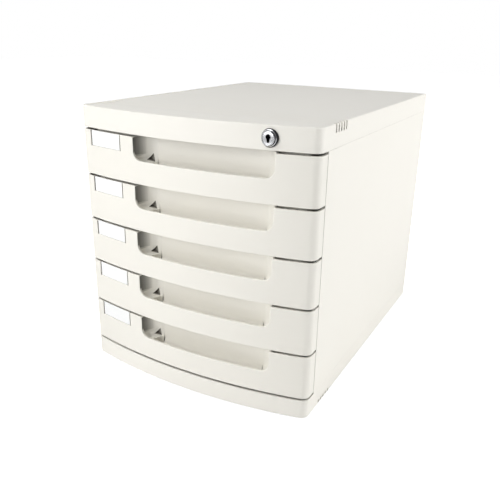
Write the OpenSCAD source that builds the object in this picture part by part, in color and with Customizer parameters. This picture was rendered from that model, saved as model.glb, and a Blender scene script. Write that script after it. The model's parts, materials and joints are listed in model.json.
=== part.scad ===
// Desktop file cabinet with five drawers, a bowed front and a lock that holds all the drawers.
// Millimetres. X runs to the right, Y to the back and Z up. The origin is on the desk, under the
// middle of the cabinet's bounding box. The drawers are closed and unlocked.

/* [Housing] */
// Width over the side panels
body_w = 300; // [280:5:360]
// Depth of the sides, from the front corners to the back
side_d = 393; // [360:1:440]
// How far the middle of the front stands forward of its corners
front_bow = 18; // [10:1:26]
// Radius of the upright front corners
corner_r = 9.5; // [7:0.5:14]
// Height of the band under the drawers
base_h = 22.8; // [20:0.2:34]
// Height of the band over the drawers
top_h = 24.6; // [24:0.2:34]
// Thickness of the moulded walls
wall = 2.8; // [2.2:0.2:3.6]
// Thickness of the top plate outside its dished area
top_t = 4; // [3.6:0.1:4.4]
// Thickness of the base's floor
floor_t = 2.8; // [2.2:0.2:4]
// Rounding of the top cover's upper edge and the base's lower edge
edge_r = 1.6; // [0.8:0.2:2.4]
// How far the rubber feet stand out under the base
foot_h = 1.5; // [1:0.5:4]
// Radius of a rubber foot
foot_r = 8; // [6:0.5:12]

/* [Dished top] */
// Width of the level rim beside the dished area
rim_w = 4; // [3:0.5:8]
// Depth of the pen trough behind the front edge
trough_d = 1.8; // [0.5:0.1:2.2]
// Depth of the large panel behind the trough
panel_d = 0.5; // [0.2:0.1:1.2]
// Distance from the front corners to the lowest line of the trough
trough_y = 41; // [30:1:46]
// Length of the slope that rises from the trough to the panel
trough_rise = 29; // [24:1:44]
// Depth of the ledge along the back edge
back_ledge = 46; // [30:1:70]

/* [Side slots] */
// Number of slots in each group
slot_count = 5; // [3:1:6]
// Distance between slots
slot_pitch = 7; // [5:0.5:9]
// Width of a slot
slot_w = 3.4; // [2:0.2:4]
// Height of the slots in the top cover
slot_top_h = 9.5; // [6:0.5:14]
// Height of the slots in the base
slot_base_h = 6; // [4:0.5:12]
// How far a slot reaches in over the edge
slot_wrap = 3; // [2:0.5:5]
// Distance from the front corners to the first slot
slot_y = 35; // [30:1:50]

/* [Drawer fronts] */
// Distance from one drawer front to the next
pitch = 54.2; // [52:0.2:64]
// Gap between neighbouring fronts
front_gap = 2.6; // [1.8:0.1:3.4]
// Thickness of a front's skin
skin = 2.8; // [2.4:0.2:3.4]
// Depth of the straight part of a front's side return
return_d = 10.5; // [8:0.5:14]
// Gap between a front's return and the side panel
seam_gap = 0.7; // [0.5:0.1:1.5]
// Width of the handle opening
handle_w = 170; // [120:1:180]
// How far the handle opening's middle lies to the right of the cabinet's middle
handle_x = 21; // [10:1:24]
// Depth of the handle opening below the front's upper edge
handle_h = 25.4; // [22:0.2:30]
// Radius of the handle opening's lower corners
handle_r = 10; // [6:1:14]
// Radius of the scoop between the back of the finger pocket and its floor
scoop_r = 13; // [9:1:14]
// Wall of the finger pocket
pocket_t = 2; // [1.6:0.2:2.6]

/* [Labels] */
// Width of the label recess
label_w = 49.5; // [40:0.5:52]
// Height of the label recess, open at the front's upper edge
label_h = 17.9; // [14:0.1:24]
// Distance from the cabinet's side to the label recess
label_side = 15.5; // [14:0.5:20]
// Depth of the label recess
label_d = 1.5; // [1:0.1:1.7]
// Thickness of the card in it
card_t = 0.4; // [0.2:0.1:0.6]
// Play of the card under the recess's upper edge
card_gap = 0.3; // [0.2:0.1:0.6]
// Width of the groove at each end of the card
groove_w = 1; // [0.6:0.1:1.4]
// Depth of the groove below the recess
groove_d = 0.7; // [0.4:0.1:0.8]

/* [Trays] */
// Clear height over a tray, up to the front or the band above it
tray_head = 2.2; // [1.6:0.1:8]
// Thickness of a tray's walls and floor
tray_t = 2; // [1.6:0.2:2.6]
// Space between a tray and the side panel
tray_side = 13.2; // [12.6:0.2:16]
// Space between the trays and the back panel
tray_back = 9; // [6:1:20]
// How far a drawer slides out
travel = 290; // [200:5:300]
// Play between a tray and its runner
run_gap = 0.3; // [0.2:0.1:0.6]
// Thickness of a runner
runner_t = 2.6; // [2:0.2:3.4]
// Width of the tray's seat on a runner
runner_seat = 5; // [3:0.5:8]

/* [Lock] */
// Distance from the lock's axis to the cabinet's right side
lock_side = 50; // [46:1:60]
// Radius of the lock's flange
flange_r = 9.2; // [8.6:0.1:9.8]
// How far the flange stands forward of the front
flange_out = 3.5; // [2.5:0.5:5]
// Radius of the lock's threaded body
lock_r = 7.5; // [7:0.1:7.8]
// Radius of the turning plug
plug_r = 6.2; // [5.6:0.1:6.4]
// How far the lock bar drops when the lock is turned
lock_drop = 8; // [7.6:0.1:8.2]
// Width of the nut behind the front, over its flats
nut_af = 17; // [16.4:0.2:18]
// Width of the lock bar
bar_w = 6; // [5:0.5:6]
// Thickness of the lock bar
bar_t = 3; // [2:0.5:3]

/* [Hidden] */

drawers = 5;
eps = 0.01;
clear = 0.2;          // fit between fixed pieces
shell_color = [0.93, 0.92, 0.88];
tray_color = [0.90, 0.89, 0.85];
card_color = [1, 1, 1];
rubber_color = [0.15, 0.15, 0.15];
chrome_color = [0.75, 0.76, 0.78];
steel_color = [0.55, 0.56, 0.58];
bar_color = [0.82, 0.82, 0.80];

// Heights
z_base = foot_h;
z_open0 = z_base + base_h;
z_open1 = z_open0 + drawers * pitch + front_gap;
z_top = z_open1 + top_h;
front_h = pitch - front_gap;

// Depths
y_apex = -(side_d + front_bow) / 2;
y_corner = y_apex + front_bow;
y_back = y_apex + front_bow + side_d;
front_R = (body_w * body_w / 4 + front_bow * front_bow) / (2 * front_bow);
arc_y = y_apex + front_R;
fillet_x = body_w / 2 - corner_r;
fillet_y = arc_y - sqrt(pow(front_R - corner_r, 2) - fillet_x * fillet_x);
fillet_a = atan2(fillet_y - arc_y, fillet_x);
y_seam = fillet_y + return_d;
y_side = y_seam + seam_gap;

// Finger pocket, seen from the front
handle_x0 = handle_x - handle_w / 2;
handle_x1 = handle_x + handle_w / 2;
pocket_y = y_corner + 5.5;
end_r0 = pocket_y - face_y(handle_x0);
end_r1 = pocket_y - face_y(handle_x1);
pocket_drop = scoop_r + 1;
window_place = 0.5;   // the wedge windows' foot, as a share of the pocket end's radius
window_w = 0.5;
window_lean = 0.42;
window_h = 9;
window_drop = 3;      // below the handle's lip
scoop_x0 = handle_x0 + end_r0 + clear;
scoop_x1 = handle_x1 - end_r1 - clear;

// Trays and runners
tray_w = body_w - 2 * (wall + tray_side);
back_y0 = y_back - 2 * wall - clear;
tray_y0 = pocket_y;
tray_y1 = back_y0 - tray_back;
tray_lift = 3.5;
tray_h = pitch - tray_lift - tray_head;
guide_gap = 1;
guide_t = 2;
guide_h = 6;
runner_peg_r = 1.5;
runner_peg_l = 1.4;    // how far a peg reaches into the side panel
runner_peg_inset = 30;
runner_peg_ys = [y_side + runner_peg_inset, 0, back_y0 - runner_peg_inset];

// Lock bar, its tabs and the catches on the trays
bar_x0 = tray_w / 2 + 4;
bar_y0 = y_side + 3.3;
bar_play = 0.4;
bar_foot = 3;         // how far the bar reaches below the drawer opening
tab_t = 2;
tab_h = 6;
tab_gap = 1;          // between a tab and the catch under it
tab_side = 0.9;       // between a tab and the tray
catch_out = 3.4;
catch_h = 4;
catch_z = 24;
catch_l = 4;
catch_y0 = bar_y0 + bar_t + tab_t + 0.8;
peg_r = 1.2;
peg_play = 0.05;

// Drawer stops
stop_y0 = catch_y0 + catch_l + 5;
stop_l = 4;
stop_h = 13;
stop_t = 4;
lug_z0 = guide_h + 2;
lug_z1 = stop_h - 0.5;
lug_l = 4;
lug_y0 = stop_y0 + stop_l + travel + 0.5;

// Lock
lock_x = body_w / 2 - lock_side;
lock_y = face_y(lock_x);
lock_z = z_top - top_t - nut_af / 2 - 0.1;
seat_y = face_y(lock_x + flange_r);
pad_r = flange_r + 1;
nut_y = face_y(lock_x + pad_r) + wall + 0.1;
lock_end = bar_y0 - 6;
cam_t = 2;
pin_r = 1.5;
pin_arm = lock_drop / 2;        // the pin's offset right of and above the lock's axis
pin_play = 0.4;
arm_half = pin_r + pin_play + 1.9;
nut_t = 4;
key_w = 1.8;
key_h = 8.4;
key_depth = 8;
key_r = 2.2;

// Hollow of the top
dish_lead = 6;        // in front of the straight sides' front end
ledge_step = 1;

// Upright brackets between a front and its tray
bracket_in = 3;       // in from the tray's side
bracket_lead = 2;
bracket_drop = 4;     // below the front's upper edge

// Stiffening ribs
top_rib_pitch = 75;
top_rib_h = 6;
top_rib_lead = 30;    // behind the lock
back_rib_pitch = 60;
tray_rib_pitch = 60;
tray_rib_w = 16;
tray_rib_h = 0.6;
tray_rib_inset = 30;
rib_t = 2;

// Screws up into the sides
screw_front = 70;
screw_back = 60;
screw_side = 6;
screw_ys = [y_corner + screw_front, y_back - screw_back];
screw_x = body_w / 2 - wall - screw_side;
screw_r = 1.5;
screw_head_r = 3.5;
screw_head_t = 1.2;
screw_bite = 10;      // how far a screw reaches above the floor
boss_r = 4;
foot_side = 32;
foot_inset = 34;
foot_x = body_w / 2 - foot_side;
foot_ys = [y_corner + foot_inset, y_back - foot_inset];
foot_sink = 0.8;

// Tongues that carry the covers on the side panels
tongue_t = 2;
tongue_h = 7;
tongue_root = 2.2;
tongue_y0 = y_side + 12;
tongue_y1 = back_y0 - 14;

// Post in front of the back panel
post_w = 2.5;
post_y0 = back_y0 - 2.4;

function face_y(x) = arc_y - sqrt(front_R * front_R - x * x);
function front_z(n) = z_open0 + front_gap + (drawers - n) * pitch;
function tray_z(n) = front_z(n) + tray_lift;
function tab_z(n) = tray_z(n) + catch_z + catch_h + tab_gap;

// Outline of the housing seen from above, drawn inward by inset and cut off at y_end
function fillet_points(inset) = [
    for (i = [0:8])
        let (a = fillet_a * (1 - i / 8), r = max(corner_r - inset, 0.3))
        [fillet_x + r * cos(a), fillet_y + r * sin(a)]
];
function bow_points(inset) = [
    for (i = [1:47])
        let (a = -180 - fillet_a + (180 + 2 * fillet_a) * i / 48)
        [(front_R - inset) * cos(a), arc_y + (front_R - inset) * sin(a)]
];
function outline(inset, y_end) =
    let (right = fillet_points(inset))
    concat(
        [[-body_w / 2 + inset, y_end]],
        [for (i = [8:-1:0]) [-right[i][0], right[i][1]]],
        bow_points(inset),
        right,
        [[body_w / 2 - inset, y_end]]
    );

// Slab with the housing's outline
module slab(inset, y_end, z, h) {
    translate([0, 0, z]) linear_extrude(h) polygon(outline(inset, y_end));
}

// Box between two corners
module block(a, b) {
    translate([min(a[0], b[0]), min(a[1], b[1]), min(a[2], b[2])])
        cube([abs(b[0] - a[0]), abs(b[1] - a[1]), abs(b[2] - a[2])]);
}

// Cylinder that runs back along Y from y0 to y1
module rod(x, y0, y1, z, r) {
    translate([x, y0, z]) rotate([-90, 0, 0]) cylinder(r = r, h = y1 - y0, $fn = 64);
}

// Band with the housing's outline; its outer edge is rounded at the end that shows
module band(z, h, up) {
    layer = 0.04;
    hull() {
        slab(0, y_back, up ? z : z + edge_r, h - edge_r);
        for (a = [22.5:22.5:90])
            let (inset = edge_r * (1 - cos(a)), depth = edge_r * (1 - sin(a)))
            slab(inset, y_back - inset, up ? z + h - depth - layer : z + depth, layer);
    }
}

// Group of slots through both sides, from an open end at z0 to a round end at z1
module side_slots(z0, z1) {
    r = slot_w / 2;
    x0 = body_w / 2 - slot_wrap;
    straight = z1 - sign(z1 - z0) * r;
    for (side = [-1, 1], i = [0:slot_count - 1]) {
        y = y_corner + slot_y + i * slot_pitch;
        block([side * x0, y - r, z0], [side * (body_w / 2 + 1), y + r, straight]);
        translate([side * x0, y, straight])
            rotate([0, side * 90, 0]) cylinder(r = r, h = slot_wrap + 1, $fn = 24);
    }
}

// Hollow over the top plate: pen trough, large panel and rising back ledge
module top_dish() {
    y0 = y_corner - dish_lead;
    y1 = y_corner + trough_y;
    y2 = y1 + trough_rise;
    y3 = y_back - back_ledge;
    translate([-(body_w / 2 - rim_w), 0, z_top])
        rotate([90, 0, 90])
            linear_extrude(body_w - 2 * rim_w)
                polygon([
                    [y0, 2], [y0, 0], [y1, -trough_d], [y2, -panel_d], [y3, -panel_d],
                    [y3 + ledge_step, -panel_d * 1.8], [y3 + 2 * ledge_step, -panel_d * 0.9],
                    [y_back - edge_r, 0], [y_back - edge_r, 2]
                ]);
}

module top_cover() {
    color(shell_color)
    difference() {
        union() {
            difference() {
                band(z_open1, top_h, true);
                slab(wall, y_back - wall, z_open1 - 1, top_h - top_t + 1);
            }
            intersection() {
                slab(wall / 2, y_back, z_open1 + 0.6, top_h - top_t);
                rod(lock_x, lock_y - 6, nut_y, lock_z, pad_r);
            }
            for (i = [-1:1])
                block([i * top_rib_pitch - rib_t / 2, lock_end + top_rib_lead, z_top - top_t - top_rib_h],
                      [i * top_rib_pitch + rib_t / 2, y_back - wall + eps, z_top - top_t + eps]);
        }
        top_dish();
        side_slots(z_top + 1, z_top - slot_top_h);
        rod(lock_x, lock_y - 9, seat_y, lock_z, flange_r + clear);
        rod(lock_x, seat_y - 1, seat_y + 9, lock_z, lock_r + clear);
    }
}

module base() {
    color(shell_color)
    difference() {
        band(z_base, base_h, false);
        slab(wall, y_back - wall, z_base + floor_t, base_h);
        side_slots(z_base - 1, z_base + slot_base_h);
        for (side = [-1, 1]) {
            for (y = foot_ys)
                translate([side * foot_x, y, z_base - 1])
                    cylinder(r = foot_r + clear, h = 1 + foot_sink, $fn = 48);
            for (y = screw_ys)
                translate([side * screw_x, y, z_base - 1]) {
                    cylinder(r = screw_r + 2 * clear, h = floor_t + 2, $fn = 32);
                    cylinder(r = screw_head_r + clear, h = 1 + clear + screw_head_t, $fn = 32);
                }
        }
    }
}

module foot_pads() {
    color(rubber_color)
    for (side = [-1, 1], y = foot_ys)
        translate([side * foot_x, y, 0]) cylinder(r = foot_r, h = foot_h + foot_sink, $fn = 48);
}

module base_screws() {
    color(steel_color)
    for (side = [-1, 1], y = screw_ys)
        translate([side * screw_x, y, z_base + clear]) {
            cylinder(r = screw_head_r, h = screw_head_t, $fn = 32);
            cylinder(r = screw_r, h = floor_t + screw_bite, $fn = 32);
        }
}

// Pegs or peg holes that hold a runner to its side panel
module runner_pegs(n, side, r, reach) {
    z = tray_z(n) - run_gap + guide_h / 2;
    x = side * (body_w / 2 - wall - guide_t);
    for (y = runner_peg_ys)
        translate([x, y, z]) rotate([0, side * 90, 0]) cylinder(r = r, h = guide_t + reach, $fn = 24);
}

// Runner channel under a tray, with its guide rib and the block that stops the drawer
module runner(n, side) {
    z = tray_z(n) - run_gap;
    outer = body_w / 2 - wall;
    rib = tray_w / 2 + guide_gap;
    y1 = back_y0 - 3;
    block([side * (tray_w / 2 - runner_seat), y_side, z - runner_t], [side * outer, y1, z]);
    block([side * rib, y_side, z - eps], [side * (rib + guide_t), y1, z + guide_h]);
    block([side * (outer - guide_t), y_side, z - eps], [side * outer, y1, z + guide_h]);
    block([side * rib, stop_y0, z - eps], [side * (rib + stop_t), stop_y0 + stop_l, z + stop_h]);
    runner_pegs(n, side, runner_peg_r, runner_peg_l);
}

module left_runners() {
    color(tray_color)
    for (n = [1:drawers]) runner(n, -1);
}

module right_runners() {
    color(tray_color)
    for (n = [1:drawers])
        difference() {
            runner(n, 1);
            block([bar_x0 - bar_play, bar_y0 - bar_play, z_base],
                  [bar_x0 + bar_w + bar_play, bar_y0 + bar_t + bar_play, z_open1 + 1]);
        }
}

// Tongue from z0 to z1 along a side panel's edge, which slips inside a cover's wall
module tongue(side, z0, z1) {
    outer = body_w / 2 - wall - clear;
    block([side * (outer - tongue_t), tongue_y0, z0], [side * outer, tongue_y1, z1]);
}

// Side panel with the tongues that carry the covers, holes for the runners and two screw bosses
module side_panel(side) {
    inner = side * (body_w / 2 - wall);
    difference() {
        union() {
            block([inner, y_side, z_open0], [side * body_w / 2, y_back, z_open1]);
            tongue(side, z_open0 - tongue_h, z_open0 + tongue_root);
            tongue(side, z_open1 - tongue_root, z_open1 + tongue_h);
            for (z = [z_open0, z_open1 - tongue_root])
                block([inner - side * (clear + eps), tongue_y0, z], [inner, tongue_y1, z + tongue_root]);
            block([inner - side * post_w, post_y0, z_open0],
                  [inner + side * eps, back_y0 - clear, z_open1]);
            for (y = screw_ys) {
                translate([side * screw_x, y, z_base + floor_t + clear])
                    cylinder(r = boss_r, h = base_h + tongue_root - floor_t - clear, $fn = 32);
                block([side * screw_x, y - boss_r, z_open0],
                      [inner + side * eps, y + boss_r, z_open0 + tongue_root]);
            }
        }
        for (y = screw_ys)
            translate([side * screw_x, y, z_base])
                cylinder(r = screw_r + 0.1, h = floor_t + screw_bite + 1, $fn = 32);
        for (n = [1:drawers])
            runner_pegs(n, side, runner_peg_r + peg_play, runner_peg_l + peg_play);
    }
}

module left_side() {
    color(shell_color) side_panel(-1);
}

module right_side() {
    color(shell_color) side_panel(1);
}

module back_panel() {
    x1 = body_w / 2 - wall - clear;
    color(shell_color)
    union() {
        block([-x1, back_y0, z_open0 - tongue_h], [x1, back_y0 + wall, z_open1 + tongue_h]);
        for (i = [-1.5:1.5])
            block([i * back_rib_pitch - rib_t / 2, back_y0 - 3, z_open0 + 6],
                  [i * back_rib_pitch + rib_t / 2, back_y0 + eps, z_open1 - 6]);
    }
}

// Part of the upright wall between two insets of the outline, inside a window seen from the front
module front_layer(inset0, inset1, x0, x1, z0, z1) {
    intersection() {
        difference() {
            slab(inset0, y_seam, z0, z1 - z0);
            slab(inset1, y_seam + 1, z0 - 1, z1 - z0 + 2);
        }
        block([x0, y_apex - 5, z0], [x1, 0, z1]);
    }
}

// Curved end wall of the finger pocket; side is -1 at the left end and 1 at the right
module pocket_end(side, z0, z1) {
    r = side < 0 ? end_r0 : end_r1;
    edge = side < 0 ? handle_x0 : handle_x1;
    cx = edge - side * r;
    intersection() {
        translate([cx, face_y(edge), z0])
            difference() {
                cylinder(r = r + pocket_t, h = z1 - z0, $fn = 96);
                translate([0, 0, -1]) cylinder(r = r, h = z1 - z0 + 2, $fn = 96);
            }
        block([cx, face_y(edge) + skin * 0.8, z0],
              [edge + side * (pocket_t + 1), pocket_y - clear, z1]);
    }
}

// Wedge-shaped window at the foot of a pocket end, where the front is unlatched from its tray
module latch_window(side, z) {
    r = side < 0 ? end_r0 : end_r1;
    edge = side < 0 ? handle_x0 : handle_x1;
    x0 = edge - side * r * window_place;
    translate([0, pocket_y + 1, z])
        rotate([90, 0, 0])
            linear_extrude(end_r0)
                polygon([[x0, 0], [x0 - side * r * window_w, 0], [x0 - side * r * window_lean, window_h]]);
}

module front(n) {
    z0 = front_z(n);
    z1 = z0 + front_h;
    lip = z1 - handle_h;
    pocket_z = lip - pocket_drop;
    color(shell_color)
    difference() {
        union() {
            difference() {
                slab(0, y_seam, z0, front_h);
                slab(skin, y_seam + 1, z0 - 1, front_h + 2);
            }
            slab(skin / 2, tray_y0 - clear, z0, pocket_t);
            for (side = [-1, 1])
                block([side * (tray_w / 2 - bracket_in), y_corner - bracket_lead, z0 + eps],
                      [side * (tray_w / 2 - bracket_in - rib_t), tray_y0 - clear, z1 - bracket_drop]);
            intersection() {
                slab(skin / 2, y_seam, pocket_z - pocket_t, pocket_t);
                union() {
                    block([handle_x0 - pocket_t, y_apex, 0],
                          [handle_x0 + end_r0, pocket_y - clear, z_top]);
                    block([handle_x1 + pocket_t, y_apex, 0],
                          [handle_x1 - end_r1, pocket_y - clear, z_top]);
                    block([handle_x0, y_apex, 0],
                          [handle_x1, pocket_y - scoop_r - pocket_t - clear, z_top]);
                }
            }
            difference() {
                for (side = [-1, 1]) pocket_end(side, pocket_z - pocket_t, z1);
                for (side = [-1, 1]) latch_window(side, lip - window_drop);
            }
        }
        translate([0, y_corner + 1, 0])
            rotate([90, 0, 0])
                linear_extrude(front_bow + 10) {
                    translate([handle_x0, lip + handle_r]) square([handle_w, handle_h]);
                    translate([handle_x0 + handle_r, lip]) square([handle_w - 2 * handle_r, handle_h]);
                    for (x = [handle_x0 + handle_r, handle_x1 - handle_r])
                        translate([x, lip + handle_r]) circle(r = handle_r, $fn = 48);
                }
        front_layer(-1, label_d, label_x0(), label_x0() + label_w, z1 - label_h, z1 + 1);
        for (x = [label_x0(), label_x0() + label_w - groove_w])
            front_layer(-1, label_d + groove_d, x, x + groove_w, z1 - label_h, z1 + 1);
    }
}

function label_x0() = -body_w / 2 + label_side;

module label_card(n) {
    z1 = front_z(n) + front_h;
    color(card_color)
    front_layer(label_d - card_t, label_d, label_x0() + groove_w, label_x0() + label_w - groove_w,
                z1 - label_h, z1 - card_gap);
}

// Hole through a tray's side wall
module peg_hole(side, y, z) {
    translate([side * (tray_w / 2 - tray_t - 1), y, z])
        rotate([0, side * 90, 0]) cylinder(r = peg_r + peg_play, h = tray_t + 2, $fn = 32);
}

module tray(n) {
    z = tray_z(n);
    lip = front_z(n) + front_h - handle_h;
    half = tray_w / 2;
    color(tray_color)
    union() {
        difference() {
            block([-half, tray_y0, z], [half, tray_y1, z + tray_h]);
            block([-half + tray_t, tray_y0 + tray_t, z + tray_t],
                  [half - tray_t, tray_y1 - tray_t, z + tray_h + 1]);
            for (side = [-1, 1])
                peg_hole(side, lug_y0 + lug_l / 2, z + (lug_z0 + lug_z1) / 2);
            peg_hole(1, catch_y0 + catch_l / 2, z + catch_z + catch_h / 2);
        }
        // scoop that turns the pocket's back wall forward into its floor
        translate([scoop_x0, pocket_y - scoop_r, lip - pocket_drop + scoop_r])
            rotate([90, 0, 90])
                linear_extrude(scoop_x1 - scoop_x0)
                    intersection() {
                        difference() {
                            translate([0, -scoop_r - pocket_t])
                                square([scoop_r + pocket_t / 2, scoop_r + pocket_t]);
                            circle(r = scoop_r, $fn = 64);
                        }
                        circle(r = scoop_r + pocket_t, $fn = 64);
                    }
        for (i = [-1:1])
            block([i * tray_rib_pitch - tray_rib_w / 2, tray_y0 + tray_rib_inset, z + tray_t - eps],
                  [i * tray_rib_pitch + tray_rib_w / 2, tray_y1 - tray_rib_inset,
                   z + tray_t + tray_rib_h]);
    }
}

// Block with a peg through the tray's wall, pressed in once the tray is in the cabinet
module clip(side, y, l, z, h) {
    x = side * tray_w / 2;
    union() {
        block([x, y, z], [x + side * catch_out, y + l, z + h]);
        translate([x - side * tray_t, y + l / 2, z + h / 2])
            rotate([0, side * 90, 0]) cylinder(r = peg_r, h = tray_t + eps, $fn = 32);
    }
}

// Lugs at the back of a tray that meet the stops on the side panels
module stop_lugs(n) {
    color(tray_color)
    for (side = [-1, 1])
        clip(side, lug_y0, lug_l, tray_z(n) + lug_z0, lug_z1 - lug_z0);
}

// Catch on the right of a tray, held by the lock bar's tab
module lock_catch(n) {
    color(bar_color) clip(1, catch_y0, catch_l, tray_z(n) + catch_z, catch_h);
}

// Lock in the top cover's front: flanged barrel, nut, turning plug, cam and its screw
module lock_barrel() {
    color(chrome_color)
    translate([lock_x, lock_y - flange_out, lock_z])
        rotate([-90, 0, 0])
            rotate_extrude($fn = 96)
                polygon([
                    [plug_r + clear, 0.6], [plug_r + 0.9, 0], [flange_r - 1.2, 0], [flange_r, 1.2],
                    [flange_r, seat_y - lock_y + flange_out], [lock_r, seat_y - lock_y + flange_out],
                    [lock_r, lock_end - lock_y + flange_out],
                    [plug_r + clear, lock_end - lock_y + flange_out]
                ]);
}

module lock_nut() {
    color(steel_color)
    difference() {
        translate([lock_x, nut_y, lock_z])
            rotate([-90, 0, 0]) cylinder(r = nut_af / sqrt(3), h = nut_t, $fn = 6);
        rod(lock_x, nut_y - 1, nut_y + nut_t + 1, lock_z, lock_r + 0.05);
    }
}

module lock_plug() {
    color(chrome_color)
    difference() {
        rod(lock_x, lock_y - flange_out + 0.4, lock_end + clear, lock_z, plug_r);
        block([lock_x - key_w / 2, lock_y - flange_out - 1, lock_z - key_h / 2],
              [lock_x + key_w / 2, lock_y + key_depth, lock_z + key_h / 2]);
        rod(lock_x, lock_y - flange_out - 1, lock_y + key_depth, lock_z + 1.2, key_r);
        rod(lock_x, lock_end - 8, lock_end + 1, lock_z, 1.5);
    }
}

module lock_cam() {
    y = lock_end + clear;
    color(steel_color)
    difference() {
        union() {
            rod(lock_x, y, y + cam_t, lock_z, plug_r);
            translate([lock_x, y, lock_z]) rotate([0, -45, 0])
                translate([0, 0, -3.2]) cube([pin_arm * sqrt(2), cam_t, 6.4]);
            rod(lock_x + pin_arm, y, y + cam_t, lock_z + pin_arm, 3.2);
            rod(lock_x + pin_arm, y + cam_t - eps, bar_y0 + bar_t + 0.5, lock_z + pin_arm, pin_r);
        }
        rod(lock_x, y - 1, y + cam_t + 1, lock_z, 1.6);
    }
}

module cam_screw() {
    y = lock_end + clear + cam_t;
    color(steel_color)
    union() {
        rod(lock_x, y - 9, y + eps, lock_z, 1.4);
        rod(lock_x, y, y + 1.4, lock_z, 2.9);
    }
}

// Bar behind the fronts: its slotted arm follows the cam's pin
module lock_bar() {
    pin_z = lock_z + pin_arm;
    y0 = bar_y0;
    y1 = bar_y0 + bar_t;
    color(bar_color)
    difference() {
        union() {
            block([bar_x0, y0, z_open0 - bar_foot], [bar_x0 + bar_w, y1, pin_z + arm_half]);
            block([lock_x - 1, y0, pin_z - arm_half], [bar_x0 + bar_w, y1, pin_z + arm_half]);
        }
        block([lock_x + pin_arm - pin_r - 0.8, y0 - 1, pin_z - pin_r - pin_play],
              [lock_x + pin_arm * sqrt(2) + pin_r + 0.8, y1 + 1, pin_z + pin_r + pin_play]);
        for (n = [1:drawers])
            rod(bar_x0 + bar_w / 2, y0 - 1, y1 + 1, tab_z(n) + tab_h / 2, peg_r + peg_play);
    }
}

// Tabs riveted to the bar's back, one in front of each tray's catch when the bar is down
module lock_tabs() {
    color(steel_color)
    for (n = [1:drawers])
        union() {
            block([tray_w / 2 + tab_side, bar_y0 + bar_t, tab_z(n)],
                  [bar_x0 + bar_w - 0.5, bar_y0 + bar_t + tab_t, tab_z(n) + tab_h]);
            rod(bar_x0 + bar_w / 2, bar_y0, bar_y0 + bar_t + eps, tab_z(n) + tab_h / 2, peg_r);
        }
}

top_cover();
base();
left_side();
right_side();
back_panel();
foot_pads();
base_screws();
lock_barrel();
lock_nut();
lock_plug();
lock_cam();
cam_screw();
lock_bar();
lock_tabs();
tray(1);  // tray_1
tray(2);  // tray_2
tray(3);  // tray_3
tray(4);  // tray_4
tray(5);  // tray_5
front(1);  // front_1
front(2);  // front_2
front(3);  // front_3
front(4);  // front_4
front(5);  // front_5
label_card(1);  // label_card_1
label_card(2);  // label_card_2
label_card(3);  // label_card_3
label_card(4);  // label_card_4
label_card(5);  // label_card_5
stop_lugs(1);  // stop_lugs_1
stop_lugs(2);  // stop_lugs_2
stop_lugs(3);  // stop_lugs_3
stop_lugs(4);  // stop_lugs_4
stop_lugs(5);  // stop_lugs_5
lock_catch(1);  // lock_catch_1
lock_catch(2);  // lock_catch_2
lock_catch(3);  // lock_catch_3
lock_catch(4);  // lock_catch_4
lock_catch(5);  // lock_catch_5
left_runners();
right_runners();
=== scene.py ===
"""Looks of a desktop file cabinet with five drawers, a bowed front and a keyed lock.

Metres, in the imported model's frame: X to the right, Y to the back and Z up.
"""
import json
import math

import bmesh
import bpy
from mathutils import Matrix, Vector


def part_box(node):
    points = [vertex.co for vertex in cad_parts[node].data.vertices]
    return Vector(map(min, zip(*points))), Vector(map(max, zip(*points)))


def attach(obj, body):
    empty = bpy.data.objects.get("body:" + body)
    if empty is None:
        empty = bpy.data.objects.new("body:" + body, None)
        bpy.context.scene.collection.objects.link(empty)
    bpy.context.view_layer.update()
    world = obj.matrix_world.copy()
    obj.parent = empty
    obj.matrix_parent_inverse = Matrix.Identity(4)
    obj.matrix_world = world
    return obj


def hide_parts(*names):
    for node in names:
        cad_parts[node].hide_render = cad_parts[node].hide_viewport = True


MM = 0.001
DRAWERS = 5

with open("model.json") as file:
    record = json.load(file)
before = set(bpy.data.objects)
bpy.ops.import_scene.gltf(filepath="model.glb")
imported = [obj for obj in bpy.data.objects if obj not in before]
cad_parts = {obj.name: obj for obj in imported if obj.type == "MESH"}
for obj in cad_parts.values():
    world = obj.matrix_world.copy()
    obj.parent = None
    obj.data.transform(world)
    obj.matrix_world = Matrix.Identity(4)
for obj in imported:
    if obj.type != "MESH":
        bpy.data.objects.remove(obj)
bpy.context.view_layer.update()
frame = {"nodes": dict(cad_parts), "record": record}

# ---------------------------------------------------------------- sizes

cover_lo, cover_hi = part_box("top_cover")
base_lo, base_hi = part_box("base")
front_lo, front_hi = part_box("front_1")
tray_lo, tray_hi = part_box("tray_1")
card_lo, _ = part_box("label_card_1")
side_lo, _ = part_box("right_side")
barrel_lo, barrel_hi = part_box("lock_barrel")
plug_lo, plug_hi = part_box("lock_plug")
next_lo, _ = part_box("front_2")
runner_lo, runner_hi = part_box("right_runners")
bar_lo, bar_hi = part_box("lock_bar")

HALF_W = cover_hi.x
Y_APEX = cover_lo.y
Y_BACK = cover_hi.y
Z_BASE = base_lo.z
Z_OPEN0 = base_hi.z
Z_OPEN1 = cover_lo.z
Z_TOP = cover_hi.z
PITCH = front_lo.z - next_lo.z

BOW = 18 * MM             # how far the middle of the front stands forward of its corners
CORNER_R = 9.5 * MM       # upright front corners
WALL = 2.8 * MM
EDGE_R = 1.6 * MM         # rounding of the cover's upper and the base's lower edge
TOP_T = 4 * MM
FLOOR_T = 2.8 * MM
BACK_R = 1.2 * MM         # upright back corners
SOFT = 0.35 * MM          # small rounding of moulded edges

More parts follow.
